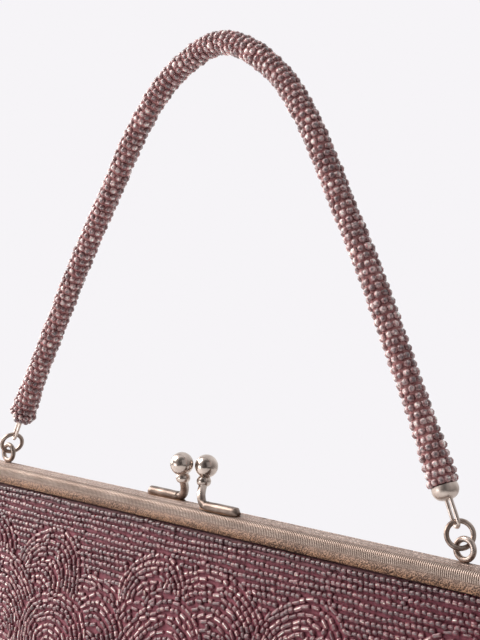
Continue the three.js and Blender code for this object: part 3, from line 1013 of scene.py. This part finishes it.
def handle():
    """The rope and the rounds of beads that cover it."""
    picker = np.random.default_rng(7)
    path = handle_route()
    steps = np.linalg.norm(np.diff(path, axis=0), axis=1)
    far = np.concatenate([[0], np.cumsum(steps)]) / MM
    whole = far[-1]
    core = HANDLE_DIAMETER / 2 - HANDLE_BEAD * 0.4
    make_piece(
        "handle_rope",
        [swept(path[::6], [(core + swell(at, whole)) * MM for at in far[::6]], 18)],
        rope_silk, "handle_beads", "handle",
    )
    rounds = int(whole // ROUND_PITCH)
    reach = HANDLE_DIAMETER / 2 - HANDLE_BEAD / 2
    rows = []
    for k in range(rounds + 1):
        at = whole * (k + 0.3) / (rounds + 0.6)
        behind, centre, ahead = (
            Vector([np.interp(at + step, far, path[:, axis]) for axis in range(3)])
            for step in (-0.5, 0, 0.5)
        )
        tangent = (ahead - behind).normalized()
        rows += bead_round(picker, centre, tangent, reach + swell(at, whole), 0.5 * (k % 2))
    start = Vector(path[0])
    tangent = Vector(path[1] - path[0]).normalized()
    for down, radius, inner_side in OVER_CAP:
        rows += bead_round(picker, start - tangent * down * MM, tangent, radius, 0.25, inner_side)
    scatter("handle_beads", spots_of(rows), HANDLE_BEAD_SHAPE, handle_glass, "handle_beads")


HANDLE_BEAD_SHAPE = bead_shape("handle_bead", 8, ROUND_BEAD)
handle()


# Pouch

GRID_ACROSS = 181
GRID_DOWN = 141
CLOTH_INSET = 0.1
CLOTH_LEAST = 0.15


def pouch_surface():
    """The pouch's front: a grid of depths in front of its middle, and its half width at each height."""
    work = bmesh.new()
    work.from_mesh(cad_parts["pouch"].data)
    bmesh.ops.remove_doubles(work, verts=work.verts, dist=1e-6)
    skin = BVHTree.FromBMesh(work)
    work.free()
    low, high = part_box("pouch")
    xs = np.linspace(low.x, high.x, GRID_ACROSS)
    zs = np.linspace(low.z, high.z, GRID_DOWN)
    depth = np.zeros((len(zs), len(xs)))
    widths = np.zeros(len(zs))
    ahead = low.y - 10 * MM
    for i, z in enumerate(zs):
        for j, x in enumerate(xs):
            spot = skin.ray_cast((x, ahead, z), (0, 1, 0))[0]
            depth[i, j] = max(MIDDLE - spot.y, 0.0) if spot else 0.0
        spot = skin.ray_cast((high.x + 10 * MM, MIDDLE, z), (-1, 0, 0))[0]
        widths[i] = spot.x if spot else 0.0
    widths[0] = min(widths[0], widths[1]) if widths[0] else widths[1] - 1.5 * MM
    return xs, zs, depth, widths


grid_x, grid_z, grid_depth, grid_width = pouch_surface()


def depth_at(x, z):
    """Depth of the pouch's front at places on it, between the grid's points."""
    i = np.clip((z - grid_z[0]) / (grid_z[1] - grid_z[0]), 0, len(grid_z) - 1.001)
    j = np.clip((x - grid_x[0]) / (grid_x[1] - grid_x[0]), 0, len(grid_x) - 1.001)
    i0, j0 = i.astype(int), j.astype(int)
    ti, tj = i - i0, j - j0
    upper = grid_depth[i0 + 1, j0] * (1 - tj) + grid_depth[i0 + 1, j0 + 1] * tj
    lower = grid_depth[i0, j0] * (1 - tj) + grid_depth[i0, j0 + 1] * tj
    return lower * (1 - ti) + upper * ti


def unrolled():
    """Tables that turn lengths over the cloth, across and down, into places on the pouch."""
    start = TOP - (FACE_HEIGHT + 0.1) * MM
    zs = np.linspace(start, grid_z[0], 400)
    centre = depth_at(np.zeros_like(zs), zs)
    down = np.concatenate([[0], np.cumsum(np.hypot(np.diff(zs), np.diff(centre)))]) / MM
    return zs, down


row_z, row_down = unrolled()


def side_edge(z):
    """Half the pouch's width at a height."""
    return np.interp(z, grid_z, grid_width)


def across_tables():
    """For each height of the grid, the length over the cloth from its middle to each x."""
    middle = len(grid_x) // 2
    xs = grid_x[middle:]
    steps = np.hypot(np.diff(xs)[None, :], np.diff(grid_depth[:, middle:], axis=1))
    return xs, np.concatenate([np.zeros((len(grid_z), 1)), np.cumsum(steps, axis=1)], axis=1) / MM


table_x, table_length = across_tables()


def heights_down(v):
    """Heights for lengths down the cloth, in millimetres, and the nearest rows of the grid."""
    z = np.interp(v, row_down, row_z)
    rows = np.round((z - grid_z[0]) / (grid_z[1] - grid_z[0])).astype(int)
    return z, np.clip(rows, 0, len(grid_z) - 1)


def on_cloth(u, v):
    """Places on the front cloth for lengths across and down over it, in millimetres."""
    z, rows = heights_down(v)
    x = np.array([np.interp(abs(a), table_length[r], table_x) for a, r in zip(u, rows)]) * np.sign(u)
    return np.stack([x, MIDDLE - depth_at(x, z), z], axis=1)


def edge_length(v):
    """How far the cloth reaches across from its middle, measured over it, at lengths down it."""
    z, rows = heights_down(v)
    return np.array([np.interp(x, table_x, table_length[r]) for x, r in zip(side_edge(z), rows)])


def shell_centres(picker, end):
    """The shells, each laid over the ones before it: place, radius, and how it leans and bends."""
    centres = [(*shell, 0) for shell in FIRST_SHELLS]
    row = 0
    v = SHELL_TOP + SHELL_RADIUS[1] + SHELL_DOWN * 1.3
    while v < end + SHELL_RADIUS[1]:
        shift = SHELL_ACROSS * (0.5 * (row % 2) + picker.uniform(-SHELL_SHIFT, SHELL_SHIFT))
        for column in range(-6, 7):
            centres.append((
                column * SHELL_ACROSS + shift + picker.uniform(-SHELL_ASIDE, SHELL_ASIDE),
                v + picker.uniform(-SHELL_DROP, SHELL_DROP),
                picker.uniform(*SHELL_RADIUS),
                v + picker.uniform(-SHELL_ORDER, SHELL_ORDER),
            ))
        v += SHELL_DOWN
        row += 1
    centres.sort(key=lambda c: c[3])
    turns = (0, 2 * math.pi)
    bends = [picker.uniform(*between, len(centres)) for between in (SHELL_OVAL, turns, SHELL_LOBES, turns)]
    leans = [picker.uniform(*between, len(centres)) for between in (LEAN_ACROSS, LEAN_DOWN)]
    return np.column_stack([[c[:3] for c in centres], *leans, *bends])


def outline(angle, bend):
    """How far out a shell's rows reach at an angle, as a share of a round one's."""
    two, two_from, three, three_from = bend.T
    return 1 + two * np.sin(2 * angle + two_from) + three * np.sin(3 * angle + three_from)


def covered(u, v, over):
    """Whether a bead at a place would lie under one of the shells."""
    across, down = u - over[:, 0], v - over[:, 1]
    reach = over[:, 2] * outline(np.arctan2(down, across), over[:, 5:])
    return np.any(np.hypot(across, down) < reach + 0.5 * ROW_PITCH)


def row_reach(v):
    """How far a straight row reaches to each side at a length down the cloth."""
    return float(edge_length(np.array([v]))[0]) - ROW_END


def straight_rows(picker, centres):
    """Beads in straight rows under the frame, and between the first shells."""
    found = []
    for row in range(FILLING_ROWS):
        v = FIRST_ROW + row * ROW_PITCH
        reach = row_reach(v)
        u = -reach + picker.uniform(0, BEAD_SPACING)
        while u < reach:
            wave = ROW_WAVE * math.sin(u / 9 + row) + ROW_WANDER * picker.standard_normal()
            if not covered(u, v, centres):
                # Painted shade on the straight rows, deepest on the first row under the frame's lip
                shade = FIRST_ROW_PAINTED_SHADE if row == 0 else ROW_PAINTED_SHADE
                found.append((u, v + wave, ROW_LEAN * picker.standard_normal(), 1.0, shade, ROW_BEAD))
            u += BEAD_SPACING * picker.uniform(*SPACING_UNEVEN)
    return found


class Clearance:
    """Keeps the beads of neighbouring rows from running into each other."""

    def __init__(self, least):
        self.least = least
        self.cells = {}

    def free(self, spots):
        """Whether no spot is too near a bead that is already sewn on."""
        for u, v in spots:
            column, row = int(u // self.least), int(v // self.least)
            for i in (column - 1, column, column + 1):
                for j in (row - 1, row, row + 1):
                    for a, b in self.cells.get((i, j), ()):
                        if math.hypot(a - u, b - v) < self.least:
                            return False
        return True

    def take(self, spots):
        """Marks spots as taken."""
        for u, v in spots:
            self.cells.setdefault((int(u // self.least), int(v // self.least)), []).append((u, v))


def patch(u, v):
    """Where on the cloth the long bright beads lie together: high in patches a few beads wide."""
    return math.sin(u / 3.3 + 1.6 * math.sin(v / 5.1)) * math.sin(v / 3.9 + 1.4 * math.sin(u / 6.3))


def bead_ends(u, v, heading, span):
    """The two places that a long bead takes up, each half a round bead in from its end."""
    half = (span - 1) * BEAD_LENGTH / 2
    return [(u + s * half * math.cos(heading), v + s * half * math.sin(heading)) for s in (-1, 1)]


def shells(picker, centres, end):
    """Beads in round rows, shell by shell, the uppermost shell first."""
    found = []
    taken = Clearance(BEAD_CLEARANCE)
    for index in range(len(centres) - 1, -1, -1):
        cu, cv, radius, lean_across, lean_down, *bend = centres[index]
        over = centres[index + 1:]
        bend = np.array([bend])
        r = radius
        while r > 0.5:
            count = max(1, int(2 * math.pi * r / BEAD_SPACING))
            start = picker.uniform(0, 2 * math.pi)
            shade = ROUND_SHADE * picker.standard_normal()
            long_round = picker.uniform() < LONG_ROUNDS and r > 4
            k = 0.0
            while k < count - 0.4:
                from_here = start + 2 * math.pi * k / count
                bright = patch(cu + r * math.cos(from_here), cv + r * math.sin(from_here)) > PATCH_EDGE
                long_share = LONG_IN_PATCHES if long_round or bright else LONG_BEADS
                span = BUGLE_LENGTH / BEAD_LENGTH if picker.uniform() < long_share else 1.0
                angle = start + 2 * math.pi * (k + span / 2) / count
                k += span
                here, next_to = (
                    r * float(outline(np.array([a]), bend)[0]) * np.array((math.cos(a), math.sin(a)))
                    for a in (angle, angle + 0.02)
                )
                u = cu + here[0] + lean_across * (radius - r)
                v = cv + here[1] + lean_down * (radius - r)
                if v > end or covered(u, v, over):
                    continue
                heading = math.atan2(next_to[1] - here[1], next_to[0] - here[0])
                spots = bead_ends(u, v, heading, span)
                if not taken.free(spots):
                    continue
                taken.take(spots)
                found.append((
                    u + BEAD_WANDER * picker.standard_normal(),
                    v + BEAD_WANDER * picker.standard_normal(),
                    heading + BEAD_LEAN * picker.standard_normal(),
                    span,
                    shade,
                    1.0,
                ))
            r -= ROW_PITCH * picker.uniform(*PITCH_UNEVEN) / (1 + lean_down)
    return found


def fillers(picker, found, end):
    """Single beads in the bare places that the rows and shells leave."""
    taken = Clearance(FILL_CLEARANCE)
    for u, v, heading, span, *_ in found:
        taken.take(bead_ends(u, v, heading, span))
    added = []
    for v in np.arange(FIRST_ROW + 1, end, FILL_STEP):
        reach = row_reach(v)
        for u in np.arange(-reach, reach, FILL_STEP):
            spot = tuple(at + picker.uniform(-FILL_WANDER, FILL_WANDER) for at in (u, v))
            if taken.free([spot]):
                taken.take([spot])
                added.append((*spot, 2 * patch(*spot), 1.0, FILL_SHADE, 1.0))
    return added


def sewn(found, front, picker):
    """Spots on the cloth for beads, from place across and down, heading, length, shade and size of each."""
    found = np.array(found)
    reach = edge_length(found[:, 1])
    found = found[np.abs(found[:, 0]) < reach - EDGE_CLEARANCE]
    u, v, heading, span, shade, size = found.T
    spot = on_cloth(u, v)
    step = 0.6
    ahead = on_cloth(u + step * np.cos(heading), v + step * np.sin(heading))
    along = ahead - spot
    aside = on_cloth(u - step * np.sin(heading), v + step * np.cos(heading)) - spot
    out = np.cross(along, aside)
    out *= -np.sign(out[:, 1:2] + 1e-12)
    along /= np.linalg.norm(along, axis=1)[:, None] + 1e-12
    out /= np.linalg.norm(out, axis=1)[:, None] + 1e-12
    lift = BEAD_DIAMETER / 2 * SEW_IN + BEAD_LIFT * picker.standard_normal(len(u))
    spot = spot + out * lift[:, None] * MM
    out = out + np.cross(out, along) * (BEAD_ROLL * picker.standard_normal(len(u)))[:, None]
    size = size * (1 + BEAD_SIZES * picker.standard_normal(len(u)))
    length = BEAD_LENGTH * span - BUGLE_GAP * (span > 1)
    length = length * (1 + BEAD_LENGTHS * picker.standard_normal(len(u)))
    across = BEAD_DIAMETER * size * np.where(span > 1, BUGLE_WIDTH, 1.0)
    grow = np.stack([length, across, BEAD_FLATNESS * across], axis=1)
    tint = np.clip(picker.beta(*BEAD_TINTS, len(u)) + LONG_SHADE * (span > 1) + shade, 0, 1)
    if front > 0:
        spot[:, 1] = 2 * MIDDLE - spot[:, 1]
        along[:, 1] *= -1
        out[:, 1] *= -1
    return {"place": spot, "along": along, "out": out, "grow": grow, "tint": tint}


def seam_row(picker):
    """One line of beads over the seam of front and back, down the sides and along the bottom."""
    down = np.linspace(TOP - (HINGE_DROP + EAR_RADIUS + 1.5) * MM, grid_z[0], 200)
    half = side_edge(down)
    route = np.concatenate([
        np.stack([half, down], axis=1),
        np.stack([-half[::-1], down[::-1]], axis=1),
    ])
    far = np.concatenate([[0], np.cumsum(np.linalg.norm(np.diff(route, axis=0), axis=1))])
    rows = []
    for at in np.arange(0, far[-1], BEAD_SPACING * MM):
        here, ahead = (
            np.array([np.interp(d, far, route[:, axis]) for axis in (0, 1)])
            for d in (at, at + 2 * MM)
        )
        way = (ahead - here) / (np.linalg.norm(ahead - here) + 1e-12)
        spot = (here[0], MIDDLE + 0.15 * picker.standard_normal() * MM, here[1])
        along = (way[0], 0.1 * picker.standard_normal(), way[1])
        grow = (BEAD_LENGTH, BEAD_DIAMETER, BEAD_DIAMETER)
        rows.append((spot, along, (-way[1], 0, way[0]), grow, 0.8 * picker.beta(*BEAD_TINTS)))
    return spots_of(rows)


def pouch_cloth():
    """The cloth under the beads: one closed skin a little inside the beads' own."""
    rings = []
    inset = CLOTH_INSET * MM
    inside_frame = (TOP - 1.2 * MM, TOP - (FACE_HEIGHT + 0.3) * MM)
    heights = (*inside_frame, *np.interp(np.linspace(0.4, row_down[-1] - 0.6, 64), row_down, row_z))
    for z in heights:
        half = float(side_edge(np.array([z]))[0]) - inset
        xs = half * np.sin(np.linspace(-math.pi / 2, math.pi / 2, 61))
        depth = np.maximum(depth_at(xs, np.full_like(xs, z)) - inset, CLOTH_LEAST * MM)
        front = [(x, MIDDLE - d, z) for x, d in zip(xs, depth)]
        back = [(x, MIDDLE + d, z) for x, d in zip(xs[::-1], depth[::-1])]
        rings.append(front + back)
    make_piece("pouch_cloth", [loft(rings)], silk, "pouch_beads", "pouch", sharp=80)


pouch_cloth()
BEAD_SHAPE = bead_shape("pouch_bead", 6, CUT_BEAD)
END = row_down[-1] - 0.4
for word, front, seed in (("front", -1, 11), ("back", 1, 12)):
    picker = np.random.default_rng(seed)
    centres = shell_centres(picker, END)
    straight = straight_rows(picker, centres)
    curved = shells(picker, centres, END)
    curved += fillers(picker, straight + curved, END)
    rows = sewn(straight, front, picker)
    scatter("bead_rows_" + word, rows, BEAD_SHAPE, pouch_glass, "pouch_beads")
    field = sewn(curved, front, picker)
    across = field["place"][:, 0]
    third = HALF_LENGTH * MM / 3
    for part, keep in (
        ("left", across < -third),
        ("middle", np.abs(across) <= third),
        ("right", across > third),
    ):
        spots = {key: value[keep] for key, value in field.items()}
        scatter(f"bead_shells_{word}_{part}", spots, BEAD_SHAPE, pouch_glass, "pouch_beads")

scatter("bead_seam", seam_row(np.random.default_rng(13)), BEAD_SHAPE, pouch_glass, "pouch_beads")


# Studio

FILM = 36
LENS = 78.75
CAMERA_PLACE = (0.3076, -0.3110, -0.06278)
CAMERA_RIGHT = (0.72381, 0.68832, 0.04811)
CAMERA_UP = (-0.06480, -0.00160, 0.99790)
CAMERA_BACK = (0.68695, -0.72541, 0.04345)
FLOOR_HALF = 0.7
FLOOR_BELOW = 0.035


def studio_world():
    """Soft white room light, darker towards the camera's side, on a plain pale backdrop."""
    world = bpy.data.worlds.new("studio")
    bpy.context.scene.world = world
    world.use_nodes = True
    tree = world.node_tree
    tree.nodes.clear()
    way = add(tree, "ShaderNodeTexCoord").outputs["Generated"]
    bright_side, dark_side = (
        add(tree, "ShaderNodeVectorMath", {"operation": "DOT_PRODUCT"}, i0=way, i1=towards).outputs["Value"]
        for towards in ((-0.55, 0.45, 0.7), (0.5, -0.6, 0.62))
    )
    rising = add(tree, "ShaderNodeMapRange", i0=bright_side, i1=-1.0, i2=1.0)
    walls = add(
        tree, "ShaderNodeValToRGB", stops=((0.15, "5c5856"), (0.55, "c9c6c4"), (0.85, "ffffff")),
        i0=rising.outputs[0],
    )
    dimmed = add(tree, "ShaderNodeMapRange", i0=dark_side, i1=0.7, i2=0.9, i3=0.0, i4=0.72)
    level = add(
        tree, "ShaderNodeMix", OF_COLOURS, i0=dimmed.outputs[0], i6=walls.outputs[0], i7=colour("1c1816"),
    ).outputs[2]
    room = add(tree, "ShaderNodeBackground", Color=level, Strength=1.0)
    paper = add(tree, "ShaderNodeBackground", Color=colour("f6f4f7"), Strength=1.0)
    seen = add(tree, "ShaderNodeLightPath")
    both = add(
        tree, "ShaderNodeMixShader",
        i0=seen.outputs["Is Camera Ray"], i1=room.outputs[0], i2=paper.outputs[0],
    )
    add(tree, "ShaderNodeOutputWorld", Surface=both.outputs[0])


def soft_light(name, spot, size, power, tone="ffffff"):
    """A square softbox that faces the bag."""
    data = bpy.data.lights.new(name, "AREA")
    data.shape = "SQUARE"
    data.size = size
    data.energy = power
    data.color = colour(tone)[:3]
    light = bpy.data.objects.new(name, data)
    light.location = spot
    aim = Vector((0, 0, TOP)) - Vector(spot)
    light.rotation_euler = aim.to_track_quat("-Z", "Y").to_euler()
    bpy.context.collection.objects.link(light)


def studio():
    """Floor, lights and camera."""
    studio_world()
    mesh = bpy.data.meshes.new("floor")
    level = cad_box[0].z - FLOOR_BELOW
    corners = ((-1, -1), (1, -1), (1, 1), (-1, 1))
    mesh.from_pydata([(x * FLOOR_HALF, y * FLOOR_HALF, level) for x, y in corners], [], [(0, 1, 2, 3)])
    floor = bpy.data.objects.new("floor", mesh)
    floor.is_shadow_catcher = True
    bpy.context.collection.objects.link(floor)
    soft_light("key_light", (-0.7, -0.6, 0.62), 0.65, 10, "fff8f2")
    soft_light("raking_light", (-1.0, -0.13, 0.1), 0.6, 7.5, "fff8f2")
    soft_light("front_light", (-0.4, -0.85, -0.35), 0.5, 2.9)
    soft_light("fill_light", (0.85, -0.25, 0.25), 0.9, 0.8)
    camera = bpy.data.cameras.new("camera")
    camera.sensor_width = FILM
    camera.lens = LENS
    camera.clip_start = 0.01
    view = bpy.data.objects.new("camera", camera)
    turn = Matrix((CAMERA_RIGHT, CAMERA_UP, CAMERA_BACK)).transposed().to_4x4()
    view.matrix_world = Matrix.Translation(CAMERA_PLACE) @ turn
    bpy.context.collection.objects.link(view)
    bpy.context.scene.camera = view
    bpy.context.scene.view_settings.view_transform = "Standard"


studio()
